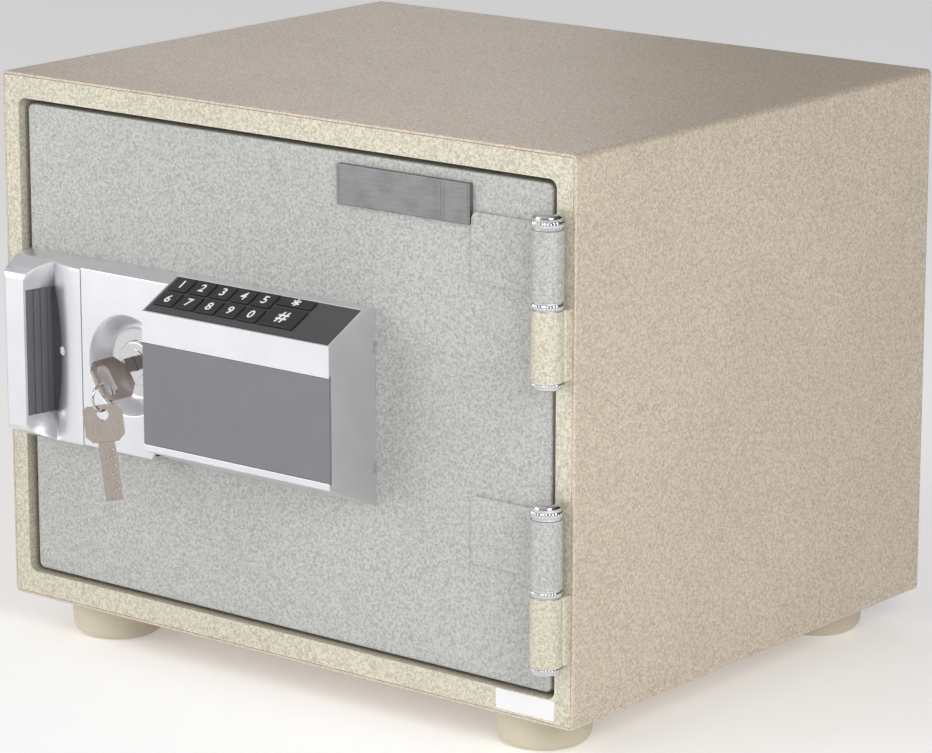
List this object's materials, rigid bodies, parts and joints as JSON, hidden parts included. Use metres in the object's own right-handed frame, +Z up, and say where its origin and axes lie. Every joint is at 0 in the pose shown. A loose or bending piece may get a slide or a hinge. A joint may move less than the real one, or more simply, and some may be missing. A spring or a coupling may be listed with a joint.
{
  "type": "fire-resistant document safe",
  "caption": "Small fire-resistant document safe on round feet, with a hinged door, fixed pull, key cylinder, sloping keypad housing and sliding battery cover.",
  "frame": {"origin": "centre of the whole object's outline seen from above, on the floor under the feet", "axes": "+X to the right seen from the front, +Y from the front to the back, +Z up"},
  "size_m": [0.412, 0.3824, 0.333],
  "materials": {
    "casing_paint": "hammertone",
    "frame_paint": "hammertone",
    "door_paint": "hammertone",
    "liner_paint": "satin",
    "fire_fill": "matte",
    "seal_strip": "matte",
    "foot_plastic": "matte",
    "zinc_steel": "satin",
    "bright_chrome": "polished",
    "label_film": "satin",
    "tray_plastic": "satin",
    "white_plastic": "satin",
    "grip_plastic": "satin",
    "keypad_plastic": "satin",
    "key_plastic": "satin",
    "cover_plastic": "matte",
    "board": "satin",
    "cell_wrap": "gloss",
    "holder_plastic": "satin",
    "plate_metal": "satin",
    "nickel_key": "polished",
    "solenoid_steel": "satin"
  },
  "bodies": {
    "cabinet": {"outer_casing": "casing_paint", "front_frame": "frame_paint", "body_insulation": "fire_fill", "inner_liner": "liner_paint", "door_seal": "seal_strip", "feet": "foot_plastic", "foot_screws": "zinc_steel", "serial_label": "label_film", "frame_hinge_knuckles": "frame_paint", "hinge_pins": "bright_chrome", "hinge_foot_caps": "bright_chrome", "hinge_washers": "bright_chrome"},
    "tray": {"pull_out_tray": "tray_plastic"},
    "door": {"door_skin": "door_paint", "door_core": "fire_fill", "door_inner_panel": "liner_paint", "plug_insulation": "fire_fill", "door_hinge_leaves": "door_paint", "door_dogs": "zinc_steel", "bolt_guides": "zinc_steel", "solenoid_body": "solenoid_steel", "escutcheon": "white_plastic", "lock_bezel": "bright_chrome", "cylinder_body": "bright_chrome", "handle": "white_plastic", "grip_liner": "grip_plastic", "handle_screw": "zinc_steel", "keypad_housing": "white_plastic", "keypad_panel": "keypad_plastic", "circuit_board": "board", "battery_holder": "holder_plastic", "battery_cells": "cell_wrap", "nameplate": "plate_metal"},
    "bolt_work": {"bolt_carriage": "zinc_steel", "locking_bolts": "bright_chrome"},
    "plunger": {"solenoid_plunger": "zinc_steel"},
    "lock_turn": {"cylinder_plug": "bright_chrome", "lock_cam": "zinc_steel", "lock_key": "nickel_key"},
    "ring": {"key_ring": "bright_chrome"},
    "spare": {"spare_key": "nickel_key"},
    "cover": {"battery_cover": "cover_plastic"},
    "digit_key_1_body": {"digit_key_1": "key_plastic"},
    "digit_key_2_body": {"digit_key_2": "key_plastic"},
    "digit_key_3_body": {"digit_key_3": "key_plastic"},
    "digit_key_4_body": {"digit_key_4": "key_plastic"},
    "digit_key_5_body": {"digit_key_5": "key_plastic"},
    "digit_key_6_body": {"digit_key_6": "key_plastic"},
    "digit_key_7_body": {"digit_key_7": "key_plastic"},
    "digit_key_8_body": {"digit_key_8": "key_plastic"},
    "digit_key_9_body": {"digit_key_9": "key_plastic"},
    "digit_key_0_body": {"digit_key_0": "key_plastic"},
    "small_function_key_body": {"small_function_key": "key_plastic"},
    "large_function_key_body": {"large_function_key": "key_plastic"}
  },
  "joints": [
    {"name": "door_swing", "type": "hinge", "parent": "cabinet", "child": "door", "pos_m": [0.195, -0.154, 0.023], "axis": [0, 0, 1], "range_deg": [0, 120]},
    {"name": "key_turn", "type": "hinge", "parent": "door", "child": "lock_turn", "pos_m": [-0.10124, -0.1448, 0.1775], "axis": [0, 1, 0], "range_deg": [0, 90]},
    {"name": "bolt_throw", "type": "slide", "parent": "door", "child": "bolt_work", "axis": [-1, 0, 0], "range_m": [0, 0.009]},
    {"name": "plunger_drop", "type": "slide", "parent": "door", "child": "plunger", "axis": [0, 0, -1], "range_m": [0, 0.003], "stiffness_N_per_m": 150, "springref_m": -0.002},
    {"name": "ring_swing", "type": "hinge", "parent": "lock_turn", "child": "ring", "pos_m": [-0.09579, -0.1826, 0.16972], "axis": [-1, 0, 0], "range_deg": [-5, 30]},
    {"name": "spare_swing", "type": "hinge", "parent": "ring", "child": "spare", "pos_m": [-0.09579, -0.1826, 0.15752], "axis": [0, 1, 0], "range_deg": [-6, 20]},
    {"name": "cover_slide", "type": "slide", "parent": "door", "child": "cover", "axis": [1, 0, 0], "range_m": [0, 0.12]},
    {"name": "tray_slide", "type": "slide", "parent": "cabinet", "child": "tray", "axis": [0, -1, 0], "range_m": [0, 0.06]},
    {"name": "digit_key_1_press", "type": "slide", "parent": "door", "child": "digit_key_1_body", "axis": [0, 0.4546, -0.8907], "range_m": [0, 0.0008], "stiffness_N_per_m": 400, "springref_m": -0.0004},
    {"name": "digit_key_2_press", "type": "slide", "parent": "door", "child": "digit_key_2_body", "axis": [0, 0.4546, -0.8907], "range_m": [0, 0.0008], "stiffness_N_per_m": 400, "springref_m": -0.0004},
    {"name": "digit_key_3_press", "type": "slide", "parent": "door", "child": "digit_key_3_body", "axis": [0, 0.4546, -0.8907], "range_m": [0, 0.0008], "stiffness_N_per_m": 400, "springref_m": -0.0004},
    {"name": "digit_key_4_press", "type": "slide", "parent": "door", "child": "digit_key_4_body", "axis": [0, 0.4546, -0.8907], "range_m": [0, 0.0008], "stiffness_N_per_m": 400, "springref_m": -0.0004},
    {"name": "digit_key_5_press", "type": "slide", "parent": "door", "child": "digit_key_5_body", "axis": [0, 0.4546, -0.8907], "range_m": [0, 0.0008], "stiffness_N_per_m": 400, "springref_m": -0.0004},
    {"name": "digit_key_6_press", "type": "slide", "parent": "door", "child": "digit_key_6_body", "axis": [0, 0.4546, -0.8907], "range_m": [0, 0.0008], "stiffness_N_per_m": 400, "springref_m": -0.0004},
    {"name": "digit_key_7_press", "type": "slide", "parent": "door", "child": "digit_key_7_body", "axis": [0, 0.4546, -0.8907], "range_m": [0, 0.0008], "stiffness_N_per_m": 400, "springref_m": -0.0004},
    {"name": "digit_key_8_press", "type": "slide", "parent": "door", "child": "digit_key_8_body", "axis": [0, 0.4546, -0.8907], "range_m": [0, 0.0008], "stiffness_N_per_m": 400, "springref_m": -0.0004},
    {"name": "digit_key_9_press", "type": "slide", "parent": "door", "child": "digit_key_9_body", "axis": [0, 0.4546, -0.8907], "range_m": [0, 0.0008], "stiffness_N_per_m": 400, "springref_m": -0.0004},
    {"name": "digit_key_0_press", "type": "slide", "parent": "door", "child": "digit_key_0_body", "axis": [0, 0.4546, -0.8907], "range_m": [0, 0.0008], "stiffness_N_per_m": 400, "springref_m": -0.0004},
    {"name": "small_function_key_press", "type": "slide", "parent": "door", "child": "small_function_key_body", "axis": [0, 0.4546, -0.8907], "range_m": [0, 0.0008], "stiffness_N_per_m": 400, "springref_m": -0.0004},
    {"name": "large_function_key_press", "type": "slide", "parent": "door", "child": "large_function_key_body", "axis": [0, 0.4546, -0.8907], "range_m": [0, 0.0008], "stiffness_N_per_m": 400, "springref_m": -0.0004}
  ],
  "couplings": [
    {"joint": "key_turn", "follows": "bolt_throw", "rad_per_m": 174.53}
  ]
}
